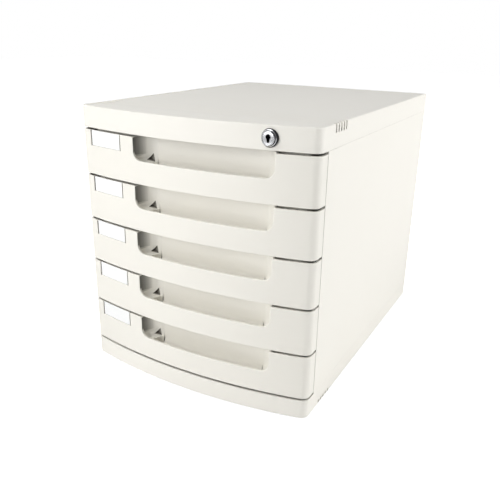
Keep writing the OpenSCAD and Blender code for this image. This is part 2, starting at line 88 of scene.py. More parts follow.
# Drawer fronts
SKIN = 2.8 * MM
SKIN_R = 0.75 * MM
HANDLE_X0 = -64 * MM
HANDLE_X1 = 106 * MM
HANDLE_H = 25.4 * MM
HANDLE_R = 10 * MM
NOTCH_R = 1.2 * MM        # where the opening meets the front's upper edge
SCOOP_R = 13 * MM         # radius of the hollow in the tray's front, behind the pocket
SCOOP_DROP = 1 * MM       # how far under the lip the hollow's centre stands
POCKET_T = 2 * MM
CLEAR = 0.2 * MM
Y_POCKET = tray_lo.y + SCOOP_R

# Hollow fillet at the foot of the pocket's end walls. Its angles, in degrees, run round an end
# wall from the front towards the tray.
FILLET_R = 9 * MM
FILLET_RISE = 5.5 * MM    # from the lip up to its upper edge
FILLET_FOOT = 10.8 * MM   # from its round down to its foot, set into the pocket's floor
FILLET_START = 8
FILLET_FADE = 48          # from here on it grows thinner
FILLET_END = 85
FILLET_LOSS = 0.85        # share of its thickness that is gone at the end

# Wedge window in the pocket's left end wall. Its foot, heel and tip are each given by a share of
# the wall's radius, from the opening's edge, and by a height over the lip.
WINDOW = ((0.40, -0.4 * MM), (0.77, -2.8 * MM), (0.655, 6.1 * MM))
# The left end wall gets painted shadow over this width.
SHADE_W = 18 * MM         # width of the left end wall that is shaded

# Label recess
GROOVE = 1.0 * MM         # groove beside the card
GROOVE_D = 2.2 * MM
LABEL_X0 = card_lo.x - GROOVE
LABEL_W = 49.5 * MM
LABEL_H = 17.9 * MM
LABEL_D = 1.5 * MM
CARD_T = 0.4 * MM

# Dished top
RIM_W = 4 * MM
RIM_SLOPE = 1.6 * MM
TROUGH_D = 2.6 * MM
PANEL_D = 0.6 * MM
TROUGH_Y = 41 * MM
TROUGH_RISE = 29 * MM
BACK_LEDGE = 46 * MM

# Lock
LOCK_FACE_R = 7.0 * MM
LOCK_BODY_R = 7.5 * MM
LOCK_SEAT = 5 * MM        # from the lock's face to the back of its flange
LOCK_BORE_R = 7.7 * MM
LOCK_PAD_R = 10.2 * MM    # flat pad behind the band, under the lock's nut
LOCK_PAD_Y0 = 5.5 * MM    # from the lock's face to the front and back of the pad
LOCK_PAD_Y1 = 8.2 * MM

# Slots in the covers' side edges
SLOT_COUNT = 5
SLOT_PITCH = 7 * MM
SLOT_W = 3.4 * MM
SLOT_TOP_H = 9.5 * MM
SLOT_BASE_H = 6 * MM
SLOT_WRAP = 3 * MM
SLOT_Y = 35 * MM

# Trays and runners
TRAY_T = 2 * MM
TRAY_R = 4 * MM
RUN_GAP = 0.3 * MM
RUNNER_T = 2.6 * MM
GUIDE_T = 2 * MM
GUIDE_H = 6 * MM
TONGUE_ROOT = 2.2 * MM
TONGUE_H = 7 * MM         # how far a side panel's tongues reach into the covers
SCREW_SIDE = 6 * MM       # from a side panel's inner face to its screws
BOSS_R = 4 * MM
BOSS_BORE_R = 1.6 * MM
STOP_Y0 = -150.7 * MM     # front and back of the blocks that stop the drawers
STOP_Y1 = -146.7 * MM
SINK = 0.6 * MM           # how deep what stands on a channel is set into it
RIB_X = 60 * MM           # from the middle of a tray to its outer floor ribs
RIB_W = 16 * MM
RIB_END = 30 * MM         # from the ribs to the tray's front and back

# Feet
FOOT_R = 8 * MM
FOOT_H = 2.3 * MM
FOOT_SIDE = 32 * MM       # from the housing's sides to the feet
FOOT_END = 34 * MM        # from the front corners and from the back to the feet


def arc(cx, cy, r, a0, a1, n):
    """n + 1 points of an arc about (cx, cy), with its angles in degrees."""
    angles = [math.radians(a0 + (a1 - a0) * i / n) for i in range(n + 1)]
    return [(cx + r * math.cos(a), cy + r * math.sin(a)) for a in angles]


def smoothstep(t):
    t = min(max(t, 0.0), 1.0)
    return t * t * (3 - 2 * t)


class Outline:
    """The housing seen from above: bowed front, rounded front corners and straight sides.

    A place on it is given by u, the distance along it from the middle of the front, and by the
    depth inward from it.
    """

    def __init__(self):
        self.radius = (HALF_W**2 + BOW**2) / (2 * BOW)
        self.centre_y = Y_APEX + self.radius
        self.fillet_x = HALF_W - CORNER_R
        inner = self.radius - CORNER_R
        self.fillet_y = self.centre_y - math.sqrt(inner**2 - self.fillet_x**2)
        self.arc_angle = math.asin(self.fillet_x / inner)
        self.arc_len = self.radius * self.arc_angle
        self.fillet_end = self.arc_len + CORNER_R * (math.pi / 2 - self.arc_angle)

    def at(self, u, depth):
        """The (x, y) place at a distance u along the outline and a depth inward from it."""
        side = 1 if u >= 0 else -1
        s = abs(u)
        if s <= self.arc_len:
            a = s / self.radius
            r = self.radius - depth
            return side * r * math.sin(a), self.centre_y - r * math.cos(a)
        if s <= self.fillet_end:
            a = self.arc_angle + (s - self.arc_len) / CORNER_R
            r = CORNER_R - depth
            return side * (self.fillet_x + r * math.sin(a)), self.fillet_y - r * math.cos(a)
        return side * (HALF_W - depth), self.fillet_y + s - self.fillet_end

    def u_of(self, x):
        """Distance along the bow to the place at x."""
        return self.radius * math.asin(x / self.radius)

    def face_y(self, x):
        """Where the bowed front stands at x."""
        return self.centre_y - math.sqrt(self.radius**2 - x**2)

    def splits(self, bow_steps=56, corner_steps=8):
        """Values of u at which a flat sheet is cut before it is wrapped on."""
        bow = [self.arc_len * (2 * i / bow_steps - 1) for i in range(bow_steps + 1)]
        corner = [
            self.arc_len + (self.fillet_end - self.arc_len) * i / corner_steps
            for i in range(1, corner_steps + 1)
        ]
        return sorted(bow + corner + [-u for u in corner])

    def loop(self, inset, y_end, back_steps=4):
        """Closed loop of points at an inset, from the left back corner round the front."""
        x = HALF_W - inset
        r = max(BACK_R - inset, 0.05 * MM)
        left = arc(-x + r, y_end - r, r, 90, 180, back_steps)
        right = arc(x - r, y_end - r, r, 0, 90, back_steps)
        return left + [self.at(u, inset) for u in self.splits()] + right


OUTLINE = Outline()

# Bounds of what stands round and behind the wedge window, where dark shade is painted
WINDOW_X0 = HANDLE_X0 - 12 * MM
WINDOW_X1 = HANDLE_X0 + 0.82 * (Y_POCKET - OUTLINE.face_y(HANDLE_X0))
WINDOW_Z0 = front_hi.z - HANDLE_H - 5 * MM
WINDOW_Z1 = front_hi.z - HANDLE_H + 8 * MM

# ---------------------------------------------------------------- mesh helpers


def to_mesh(bm):
    mesh = bpy.data.meshes.new("shape")
    bm.to_mesh(mesh)
    bm.free()
    return mesh


def from_mesh(mesh):
    bm = bmesh.new()
    bm.from_mesh(mesh)
    return bm


def ring_solid(rings):
    """Closed solid through rings of points; every ring has as many points as the next."""
    bm = bmesh.new()
    rows = [[bm.verts.new(p) for p in ring] for ring in rings]
    count = len(rows[0])
    for a, b in zip(rows, rows[1:]):
        for i in range(count):
            j = (i + 1) % count
            bm.faces.new((a[i], a[j], b[j], b[i]))
    bm.faces.new(rows[0])
    bm.faces.new(rows[-1])
    bmesh.ops.recalc_face_normals(bm, faces=bm.faces)
    return to_mesh(bm)


def quarter(r, steps=4):
    """(inset, depth) pairs from a face to the wall beside it, round an edge of radius r."""
    angles = [math.pi / 2 * i / steps for i in range(steps + 1)]
    return [(r * (1 - math.sin(a)), r * (1 - math.cos(a))) for a in angles]


def prism(points, place, length, soft=0.0, steps=3):
    """Extrusion of a 2D outline; place(a, b, t) gives the 3D point at a distance t along it.

    The outline runs counter-clockwise, and its two end faces are rounded by soft.
    """
    def inset_loop(inset):
        count = len(points)
        out = []
        for i, (a, b) in enumerate(points):
            before, after = points[i - 1], points[(i + 1) % count]
            n0 = Vector((b - before[1], before[0] - a)).normalized()
            n1 = Vector((after[1] - b, a - after[0])).normalized()
            mitre = (n0 + n1) / max(1 + n0.dot(n1), 0.3)
            out.append((a - mitre.x * inset, b - mitre.y * inset))
        return out

    if soft <= 0:
        rows = [(0, 0), (0, length)]
    else:
        ends = quarter(soft, steps)
        rows = ends + [(inset, length - depth) for inset, depth in reversed(ends)]
    return ring_solid([[place(a, b, t) for a, b in inset_loop(inset)] for inset, t in rows])


def soft_box(lo, hi, soft=SOFT):
    """Block between two corners with all its edges rounded."""
    bm = bmesh.new()
    bmesh.ops.create_cube(bm, size=1)
    for v in bm.verts:
        v.co = Vector([lo[i] + (v.co[i] + 0.5) * (hi[i] - lo[i]) for i in range(3)])
    bmesh.ops.bevel(bm, geom=bm.edges[:], offset=soft, segments=2, profile=0.5, affect="EDGES")
    return to_mesh(bm)


def lathe(profile, centre, segments=96):
    """Solid of revolution about a line through centre along Y; profile is (radius, y) pairs."""
    cx, cz = centre
    rings = []
    for i in range(segments):
        a = 2 * math.pi * i / segments
        rings.append([(cx + r * math.cos(a), y, cz + r * math.sin(a)) for r, y in profile])
    bm = bmesh.new()
    rows = [[bm.verts.new(p) for p in ring] for ring in rings]
    for i in range(segments):
        a, b = rows[i], rows[(i + 1) % segments]
        for k in range(len(profile)):
            m = (k + 1) % len(profile)
            bm.faces.new((a[k], a[m], b[m], b[k]))
    bmesh.ops.remove_doubles(bm, verts=bm.verts, dist=1e-7)
    bmesh.ops.recalc_face_normals(bm, faces=bm.faces)
    return to_mesh(bm)


def combine(first, others, operation):
    """Joins closed meshes to the first one, or cuts them out of it; the others are used up."""
    collection = bpy.context.scene.collection
    obj = bpy.data.objects.new("work", first)
    collection.objects.link(obj)
    tools = []
    for mesh in others:
        tool = bpy.data.objects.new("tool", mesh)
        collection.objects.link(tool)
        tools.append(tool)
        step = obj.modifiers.new("combine", "BOOLEAN")
        step.operation = operation
        step.solver = "MANIFOLD"
        step.object = tool
    bpy.context.view_layer.update()
    graph = bpy.context.evaluated_depsgraph_get()
    result = bpy.data.meshes.new_from_object(obj.evaluated_get(graph))
    for o in tools + [obj]:
        bpy.data.objects.remove(o)
    return result


def fuse(first, *others):
    return combine(first, others, "UNION")


def cut(first, *others):
    return combine(first, others, "DIFFERENCE")


def lifted(mesh, height):
    """Copy of a mesh, set higher or, for a negative height, lower."""
    copy = mesh.copy()
    copy.transform(Matrix.Translation((0.0, 0.0, height)))
    return copy


def mirrored(mesh):
    """Copy of a mesh for the other side of the housing."""
    bm = from_mesh(mesh)
    for v in bm.verts:
        v.co.x = -v.co.x
    bmesh.ops.reverse_faces(bm, faces=bm.faces)
    return to_mesh(bm)


def split_along(bm, axis, values):
    """Cuts every face along planes at these values of an axis."""
    normal = Vector([1.0 if i == axis else 0.0 for i in range(3)])
    for value in values:
        geometry = bm.verts[:] + bm.edges[:] + bm.faces[:]
        bmesh.ops.bisect_plane(bm, geom=geometry, dist=1e-8, plane_co=normal * value, plane_no=normal)


def wrap(mesh):
    """Bends a flat sheet, drawn as (u, depth, z), onto the housing's outline."""
    bm = from_mesh(mesh)
    split_along(bm, 0, OUTLINE.splits())
    for v in bm.verts:
        x, y = OUTLINE.at(v.co.x, v.co.y)
        v.co = (x, y, v.co.z)
    bmesh.ops.recalc_face_normals(bm, faces=bm.faces)
    return to_mesh(bm)


def finish_mesh(mesh, sharp_angle=38):
    """Removes doubled points, shades the mesh smooth and keeps its hard edges."""
    bm = from_mesh(mesh)
    bmesh.ops.remove_doubles(bm, verts=bm.verts, dist=2e-6)
    bmesh.ops.dissolve_degenerate(bm, edges=bm.edges, dist=1e-6)
    for face in bm.faces:
        face.smooth = True
    for edge in bm.edges:
        if len(edge.link_faces) == 2:
            edge.smooth = edge.calc_face_angle(0) < math.radians(sharp_angle)
    bm.to_mesh(mesh)
    bm.free()
    return mesh


def piece(name, mesh, body, nodes, material):
    """Puts a finished mesh in the scene in the place of CAD nodes."""
    obj = bpy.data.objects.new(name, finish_mesh(mesh))
    bpy.context.scene.collection.objects.link(obj)
    obj.data.name = name
    obj.data.materials.clear()
    obj.data.materials.append(material)
    normals = obj.modifiers.new("normals", "WEIGHTED_NORMAL")
    normals.keep_sharp = True
    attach(obj, body)
    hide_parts(*nodes)
    return obj


# ---------------------------------------------------------------- materials


def new_group(name, inputs, outputs):
    group = bpy.data.node_groups.new(name, "ShaderNodeTree")
    for label, kind, value in inputs:
        socket = group.interface.new_socket(name=label, in_out="INPUT", socket_type=kind)
        socket.default_value = value
    for label, kind in outputs:
        group.interface.new_socket(name=label, in_out="OUTPUT", socket_type=kind)
    return group, group.nodes.new("NodeGroupInput"), group.nodes.new("NodeGroupOutput")


def make_grain_group():
    """Fine pitted grain of a textured mould: a height, and a roughness that goes with it."""
    group, source, sink = new_group(
        "mould_grain",
        [("Scale", "NodeSocketFloat", 2600.0), ("Roughness", "NodeSocketFloat", 0.45),
         ("Spread", "NodeSocketFloat", 0.08)],
        [("Height", "NodeSocketFloat"), ("Roughness", "NodeSocketFloat")],
    )
    nodes, links = group.nodes, group.links
    place = nodes.new("ShaderNodeTexCoord")
    fine = nodes.new("ShaderNodeTexNoise")
    fine.inputs["Detail"].default_value = 3.0
    fine.inputs["Roughness"].default_value = 0.62
    wide = nodes.new("ShaderNodeTexNoise")
    wide.inputs["Scale"].default_value = 42.0
    wide.inputs["Detail"].default_value = 4.0
    links.new(place.outputs["Object"], fine.inputs["Vector"])
    links.new(place.outputs["Object"], wide.inputs["Vector"])
    links.new(source.outputs["Scale"], fine.inputs["Scale"])
    spread = nodes.new("ShaderNodeMath")
    spread.operation = "MULTIPLY_ADD"
    centred = nodes.new("ShaderNodeMath")
    centred.operation = "SUBTRACT"
    centred.inputs[1].default_value = 0.5
    links.new(wide.outputs["Fac"], centred.inputs[0])
    links.new(centred.outputs[0], spread.inputs[0])
    links.new(source.outputs["Spread"], spread.inputs[1])
    links.new(source.outputs["Roughness"], spread.inputs[2])
    links.new(fine.outputs["Fac"], sink.inputs["Height"])
    links.new(spread.outputs[0], sink.inputs["Roughness"])
    return group


def make_tone_group():
    """Slight clouding of a moulding's colour."""
    group, source, sink = new_group(
        "mould_tone",
        [("Color", "NodeSocketColor", (0.9, 0.9, 0.9, 1)),
         ("Cloud", "NodeSocketColor", (0.8, 0.8, 0.8, 1)), ("Scale", "NodeSocketFloat", 9.0)],
        [("Color", "NodeSocketColor")],
    )
    nodes, links = group.nodes, group.links
    place = nodes.new("ShaderNodeTexCoord")
    noise = nodes.new("ShaderNodeTexNoise")
    noise.inputs["Detail"].default_value = 5.0
    noise.inputs["Roughness"].default_value = 0.55
    mix = nodes.new("ShaderNodeMix")
    mix.data_type = "RGBA"
    links.new(place.outputs["Object"], noise.inputs["Vector"])
    links.new(source.outputs["Scale"], noise.inputs["Scale"])
    links.new(noise.outputs["Fac"], mix.inputs["Factor"])
    links.new(source.outputs["Color"], mix.inputs[6])
    links.new(source.outputs["Cloud"], mix.inputs[7])
    links.new(mix.outputs[2], sink.inputs["Color"])
    return group


def deepened(nodes, links, colour, mask):
    """A colour multiplied by a mask."""
    mix = nodes.new("ShaderNodeMix")
    mix.data_type = "RGBA"
    mix.blend_type = "MULTIPLY"
    mix.inputs["Factor"].default_value = 1.0
    links.new(colour, mix.inputs[6])
    links.new(mask, mix.inputs[7])
    return mix.outputs[2]


def make_painted_crevice_shade():
    """Painted shade: colour that darkens where neighbouring surfaces close a place in, by an ambient
    occlusion mask.
    """
    group, source, sink = new_group(
        "painted_crevice_shade",
        [("Color", "NodeSocketColor", (0.9, 0.9, 0.9, 1)), ("Reach", "NodeSocketFloat", 0.006)],
        [("Color", "NodeSocketColor")],
    )
    nodes, links = group.nodes, group.links
    closed = nodes.new("ShaderNodeAmbientOcclusion")
    closed.samples = 8
    links.new(source.outputs["Reach"], closed.inputs["Distance"])
    open_to = nodes.new("ShaderNodeMapRange")
    open_to.interpolation_type = "SMOOTHSTEP"
    for label, value in (("From Min", 0.08), ("From Max", 0.62), ("To Min", 0.04), ("To Max", 1.0)):
        open_to.inputs[label].default_value = value
    links.new(closed.outputs["AO"], open_to.inputs["Value"])
    shaded = deepened(nodes, links, source.outputs["Color"], open_to.outputs["Result"])
    links.new(shaded, sink.inputs["Color"])
    return group


def make_painted_hollow_shade():
    """Painted shadow: colour that darkens on the part of a hollow's wall that is turned along the front,
    by its object-space normal.
    """
    group, source, sink = new_group(
        "painted_hollow_shade",
        [("Color", "NodeSocketColor", (0.9, 0.9, 0.9, 1))],
        [("Color", "NodeSocketColor")],
    )
    nodes, links = group.nodes, group.links
    facing = nodes.new("ShaderNodeTexCoord")
    parts = nodes.new("ShaderNodeSeparateXYZ")
    links.new(facing.outputs["Normal"], parts.inputs[0])
    # darker as the normal turns towards +X: painted shadow
    depth = nodes.new("ShaderNodeMapRange")
    for label, value in (("From Min", 0.60), ("From Max", 1.0), ("To Min", 1.0), ("To Max", 0.17)):
        depth.inputs[label].default_value = value
    turn = nodes.new("ShaderNodeMath")
    turn.operation = "MULTIPLY_ADD"
    turn.inputs[1].default_value = -1.2
    links.new(parts.outputs["Z"], turn.inputs[0])
    links.new(parts.outputs["X"], turn.inputs[2])
    links.new(turn.outputs[0], depth.inputs["Value"])
    shaded = deepened(nodes, links, source.outputs["Color"], depth.outputs["Result"])
    links.new(shaded, sink.inputs["Color"])
    return group


GRAIN = make_grain_group()
TONE = make_tone_group()
CREVICE_SHADE = make_painted_crevice_shade()
HOLLOW_SHADE = make_painted_hollow_shade()


def new_material(name):
    material = bpy.data.materials.new(name)
    material.use_nodes = True
    nodes = material.node_tree.nodes
    return material, nodes, material.node_tree.links, nodes["Principled BSDF"]


def add_group(nodes, group, **values):
    node = nodes.new("ShaderNodeGroup")
    node.node_tree = group
    for label, value in values.items():
        node.inputs[label].default_value = value
    return node


def plastic(name, color, cloud, roughness, grain=2600.0, height=0.02 * MM, hollow=False,
            reach=4 * MM):
    """Moulded plastic with a fine mould grain, and with painted shade that darkens its crevices within
    reach; with hollow set, also painted shadow on a hollow's end wall.
    """
    material, nodes, links, shader = new_material(name)
    tone = add_group(nodes, TONE, Color=(*color, 1), Cloud=(*cloud, 1))
    pits = add_group(nodes, GRAIN, Scale=grain, Roughness=roughness)
    bump = nodes.new("ShaderNodeBump")
    bump.inputs["Strength"].default_value = 0.35
    bump.inputs["Distance"].default_value = height
    # painted shade in the crevices, from ambient occlusion
    painted_crevice = add_group(nodes, CREVICE_SHADE, Reach=reach)
    links.new(tone.outputs["Color"], painted_crevice.inputs["Color"])
    colour = painted_crevice.outputs["Color"]
    # painted shadow on a hollow's wall turned along the front
    if hollow:
        turned = add_group(nodes, HOLLOW_SHADE)
        links.new(colour, turned.inputs["Color"])
        colour = turned.outputs["Color"]
    links.new(colour, shader.inputs["Base Color"])
    links.new(pits.outputs["Roughness"], shader.inputs["Roughness"])
    links.new(pits.outputs["Height"], bump.inputs["Height"])
    links.new(bump.outputs["Normal"], shader.inputs["Normal"])
    shader.inputs["IOR"].default_value = 1.46
    return material


def metal(name, color, roughness, grain=900.0, height=0.004 * MM):
    """Plated or brushed metal."""
    material, nodes, links, shader = new_material(name)
    shader.inputs["Metallic"].default_value = 1.0
    cloud = [c * 0.9 for c in color]
    tone = add_group(nodes, TONE, Color=(*color, 1), Cloud=(*cloud, 1), Scale=60.0)
    pits = add_group(nodes, GRAIN, Scale=grain, Roughness=roughness, Spread=0.05)
    bump = nodes.new("ShaderNodeBump")
    bump.inputs["Strength"].default_value = 0.2
    bump.inputs["Distance"].default_value = height
    links.new(tone.outputs["Color"], shader.inputs["Base Color"])
    links.new(pits.outputs["Roughness"], shader.inputs["Roughness"])
    links.new(pits.outputs["Height"], bump.inputs["Height"])
    links.new(bump.outputs["Normal"], shader.inputs["Normal"])
    return material


FRONT_COLOR = (0.880, 0.860, 0.795)
FRONT_CLOUD = (0.865, 0.842, 0.775)

shell_plastic = plastic("shell_plastic", (0.885, 0.865, 0.805), (0.870, 0.848, 0.785), 0.48)
front_plastic = plastic("front_plastic", FRONT_COLOR, FRONT_CLOUD, 0.40)
# The front's plastic again, with painted shadow on the finger pocket's left end wall.
pocket_painted_shade = plastic("pocket_painted_shade", FRONT_COLOR, FRONT_CLOUD, 0.42, hollow=True)
# Dark paint standing in for the shade inside the wedge window.
painted_window_shade = plastic("painted_window_shade", (0.34, 0.325, 0.285), (0.32, 0.305, 0.265), 0.6)
# The trays' painted crevice shade reaches 3 mm.
tray_plastic = plastic("tray_plastic", (0.895, 0.872, 0.805), (0.880, 0.856, 0.785), 0.42,
                       reach=3 * MM)
bar_plastic = plastic("bar_plastic", (0.62, 0.61, 0.58), (0.58, 0.57, 0.54), 0.5)
card_paper = plastic("card_paper", (0.92, 0.925, 0.925), (0.90, 0.905, 0.905), 0.75, 1400.0, 0.03 * MM)
foot_rubber = plastic("foot_rubber", (0.03, 0.03, 0.03), (0.02, 0.02, 0.02), 0.7, 1200.0, 0.05 * MM)
lock_chrome = metal("lock_chrome", (0.86, 0.87, 0.89), 0.14)
# Near-black metal: painted dark reflection on the flange's chrome flank, and painted shade in the
# keyhole.
lock_painted_shade = metal("lock_painted_shade", (0.045, 0.045, 0.05), 0.30)
zinc_steel = metal("zinc_steel", (0.60, 0.61, 0.63), 0.32)

# ---------------------------------------------------------------- housing


def dish(y):
    """Height of the top plate behind the front edge, below its rim."""
    front = Y_APEX + BOW
    stops = [
        (front - 6 * MM, 0.0), (front + TROUGH_Y, -TROUGH_D),
        (front + TROUGH_Y + TROUGH_RISE, -PANEL_D), (Y_BACK - BACK_LEDGE, -PANEL_D),
        (Y_BACK - BACK_LEDGE + 1 * MM, -PANEL_D * 1.8), (Y_BACK - BACK_LEDGE + 2 * MM, -PANEL_D * 0.9),
        (Y_BACK - EDGE_R, 0.0),
    ]
    if y <= stops[0][0]:
        return 0.0
    for (y0, h0), (y1, h1) in zip(stops, stops[1:]):
        if y <= y1:
            return h0 + (h1 - h0) * (y - y0) / (y1 - y0)
    return 0.0


def dish_soft(y, reach=1.2 * MM, samples=5):
    """The same height averaged over a short reach, which rounds the creases."""
    return sum(dish(y + reach * (2 * i / (samples - 1) - 1)) for i in range(samples)) / samples


def band(z_open, z_end, plate_t):
    """Tray-shaped moulding with the housing's outline, open towards z_open."""
    up = 1 if z_end > z_open else -1
    rings = []

    def add(inset, z):
        rings.append([(x, y, z) for x, y in OUTLINE.loop(inset, Y_BACK - inset)])

    for inset, depth in quarter(EDGE_R, 5):
        add(inset, z_end - up * depth)
    for inset, depth in reversed(quarter(SOFT, 2)):
        add(inset, z_open + up * depth)
    for inset, depth in quarter(SOFT, 2):
        add(WALL - inset, z_open + up * depth)
    add(WALL, z_end - up * plate_t)
    return ring_solid(rings)


def side_slots(z_edge, up, height):
    """Cutters for the slots through both upper or lower side edges."""
    cutters = []
    r = SLOT_W / 2
    far = 1.5 * MM        # how far the cutters stand out of the housing
    for i in range(SLOT_COUNT):
        y = Y_APEX + BOW + SLOT_Y + i * SLOT_PITCH
        for side in (-1, 1):
            lo, hi = sorted((z_edge - up * height, z_edge + up * far))
            if up > 0:
                points = arc(0, lo + r, r, 180, 360, 12) + [(r, hi), (-r, hi)]
            else:
                points = [(-r, lo), (r, lo)] + arc(0, hi - r, r, 0, 180, 12)
            x0, x1 = sorted((side * (HALF_W - SLOT_WRAP), side * (HALF_W + far)))
            cutters.append(prism(points, lambda a, b, t, y=y, x0=x0: (x0 + t, y + a, b), x1 - x0))
    return cutters


def make_top_cover():
    """Band over the drawers and the dished top plate, with the lock's bore and the slots."""
    mesh = band(Z_OPEN1, Z_TOP, TOP_T)
    bm = from_mesh(mesh)
    front = Y_APEX + BOW
    creases = [front - 6 * MM, front + TROUGH_Y, front + TROUGH_Y + TROUGH_RISE]
    rows = [c + i * 0.6 * MM for c in creases for i in range(-3, 4)]
    ledge = Y_BACK - BACK_LEDGE
    rows += [ledge + i * 0.5 * MM for i in range(-2, 8)]
    rows += [Y_BACK - EDGE_R - i * 0.8 * MM for i in range(1, 4)]
    rim = HALF_W - RIM_W
    columns = [rim - RIM_SLOPE * i / 6 for i in range(7)]
    for axis, values in ((1, rows), (0, columns + [-c for c in columns])):
        normal = Vector([1.0 if i == axis else 0.0 for i in range(3)])
        for value in values:
            faces = [f for f in bm.faces if f.calc_center_median().z > Z_TOP - 0.01 * MM]
            edges = {e for f in faces for e in f.edges}
            verts = {v for f in faces for v in f.verts}
            bmesh.ops.bisect_plane(bm, geom=list(verts) + list(edges) + faces, dist=1e-8,
                                   plane_co=normal * value, plane_no=normal)
    for v in bm.verts:
        if v.co.z > Z_TOP - 0.001 * MM:
            side = smoothstep((rim - abs(v.co.x)) / RIM_SLOPE)
            v.co.z += side * dish_soft(v.co.y)
    mesh = to_mesh(bm)
    lock_x = (barrel_lo.x + barrel_hi.x) / 2
    lock_z = (barrel_lo.z + barrel_hi.z) / 2
    y0, y1 = Y_APEX - 1 * MM, Y_APEX + 20 * MM
    hole = lathe([(0, y0), (LOCK_BORE_R, y0), (LOCK_BORE_R, y1), (0, y1)], (lock_x, lock_z))
    y0, y1 = barrel_lo.y + LOCK_PAD_Y0, barrel_lo.y + LOCK_PAD_Y1
    pad = lathe([(0, y0), (LOCK_PAD_R, y0), (LOCK_PAD_R, y1), (0, y1)], (lock_x, lock_z))
    mesh = fuse(mesh, pad)
    return cut(mesh, hole, *side_slots(Z_TOP, 1, SLOT_TOP_H))


def make_base():
    """Band under the drawers and the floor, with the slots."""
    mesh = band(Z_OPEN0, Z_BASE, FLOOR_T)
    return cut(mesh, *side_slots(Z_BASE, -1, SLOT_BASE_H))


def joined(meshes):
    """One mesh of several separate ones."""
    bm = bmesh.new()
    for mesh in meshes:
        bm.from_mesh(mesh)
    return to_mesh(bm)


def make_runners(side):
    """Runner channels of one side, each with its two guide ribs and its stop block."""
    z = tray_lo.z - RUN_GAP
    y0, y1 = runner_lo.y, runner_hi.y
    inner, outer = tray_hi.x - 5 * MM, HALF_W - WALL
    rib = tray_hi.x + 1 * MM
    channel = soft_box((inner, y0, z - RUNNER_T), (outer, y1, z))
    parts = [
        soft_box((rib, y0, z - SINK), (rib + GUIDE_T, y1, z + GUIDE_H)),
        soft_box((outer - GUIDE_T, y0, z - SINK), (outer, y1, z + GUIDE_H)),
        soft_box((rib, STOP_Y0, z - SINK), (rib + 4 * MM, STOP_Y1, z + 13 * MM)),
    ]
    mesh = fuse(channel, *parts)
    if side > 0:
        slot = soft_box((bar_hi.x - 6.4 * MM, bar_lo.y - 0.4 * MM, z - 5 * MM),
                        (bar_hi.x + 0.4 * MM, bar_hi.y + 0.4 * MM, z + 8 * MM), 0.05 * MM)
        mesh = cut(mesh, slot)
    row = joined([lifted(mesh, -n * PITCH) for n in range(DRAWERS)])
    return row if side > 0 else mirrored(row)


def make_side():
    """Right side panel with its screw bosses, its post and the tongues that carry the covers."""
    y0, y1 = side_lo.y, Y_BACK
    loop = [(y0, Z_OPEN0), (y1, Z_OPEN0), (y1, Z_OPEN1), (y0, Z_OPEN1)]
    mesh = prism(loop, lambda a, b, t: (HALF_W - t, a, b), WALL, SOFT)
    inner = HALF_W - WALL
    tongue_y0, tongue_y1 = y0 + 12 * MM, Y_BACK - 20 * MM
    low, high = Z_OPEN0 - TONGUE_H, Z_OPEN1 + TONGUE_H
    parts = []
    for z0, z1 in ((low, Z_OPEN0 + TONGUE_ROOT), (Z_OPEN1 - TONGUE_ROOT, high)):
        parts.append(soft_box((inner - 2.2 * MM, tongue_y0, z0), (inner - 0.2 * MM, tongue_y1, z1)))
    for z in (Z_OPEN0, Z_OPEN1 - TONGUE_ROOT):
        parts.append(soft_box((inner - 1 * MM, tongue_y0, z),
                              (inner + 1 * MM, tongue_y1, z + TONGUE_ROOT), 0.1 * MM))
    parts.append(soft_box((inner - 2.5 * MM, Y_BACK - 8.2 * MM, Z_OPEN0),
                          (inner + 1 * MM, Y_BACK - 6 * MM, Z_OPEN1), 0.2 * MM))
    boss_h = Z_OPEN0 + TONGUE_ROOT - side_lo.z
    for y in (Y_APEX + BOW + 70 * MM, Y_BACK - 60 * MM):
        boss = lathe([(BOSS_BORE_R, 0), (BOSS_R - 0.3 * MM, 0), (BOSS_R, 0.3 * MM),
                      (BOSS_R, boss_h), (BOSS_BORE_R, boss_h)], (0.0, 0.0), 48)
        boss.transform(Matrix.Rotation(math.pi / 2, 4, "X"))
        boss.transform(Matrix.Translation((inner - SCREW_SIDE, y, side_lo.z)))
        parts.append(boss)
        parts.append(soft_box((inner - SCREW_SIDE + 2 * MM, y - 4 * MM, Z_OPEN0),
                              (inner + 1 * MM, y + 4 * MM, Z_OPEN0 + TONGUE_ROOT), 0.1 * MM))
    for part in parts:
        mesh = fuse(mesh, part)
    return mesh


# ---------------------------------------------------------------- drawers


def front_loop(inset):
    """Face of a drawer front, laid flat, with its handle opening at the upper edge."""
    u_end = OUTLINE.fillet_end + (front_hi.y - OUTLINE.fillet_y)
    n0, n1 = OUTLINE.u_of(HANDLE_X0), OUTLINE.u_of(HANDLE_X1)
    z0, z1 = front_lo.z, front_hi.z
    lip = z1 - HANDLE_H
    r = HANDLE_R + inset
    corner = NOTCH_R - inset
    return (
        [(-u_end + inset, z0 + inset), (u_end - inset, z0 + inset), (u_end - inset, z1 - inset)]
        + arc(n1 + NOTCH_R, z1 - NOTCH_R, corner, 90, 180, 4)
        + arc(n1 - HANDLE_R, lip + HANDLE_R, r, 0, -90, 10)
        + arc(n0 + HANDLE_R, lip + HANDLE_R, r, -90, -180, 10)
        + arc(n0 - NOTCH_R, z1 - NOTCH_R, corner, 0, 90, 4)
        + [(-u_end + inset, z1 - inset)]
    )


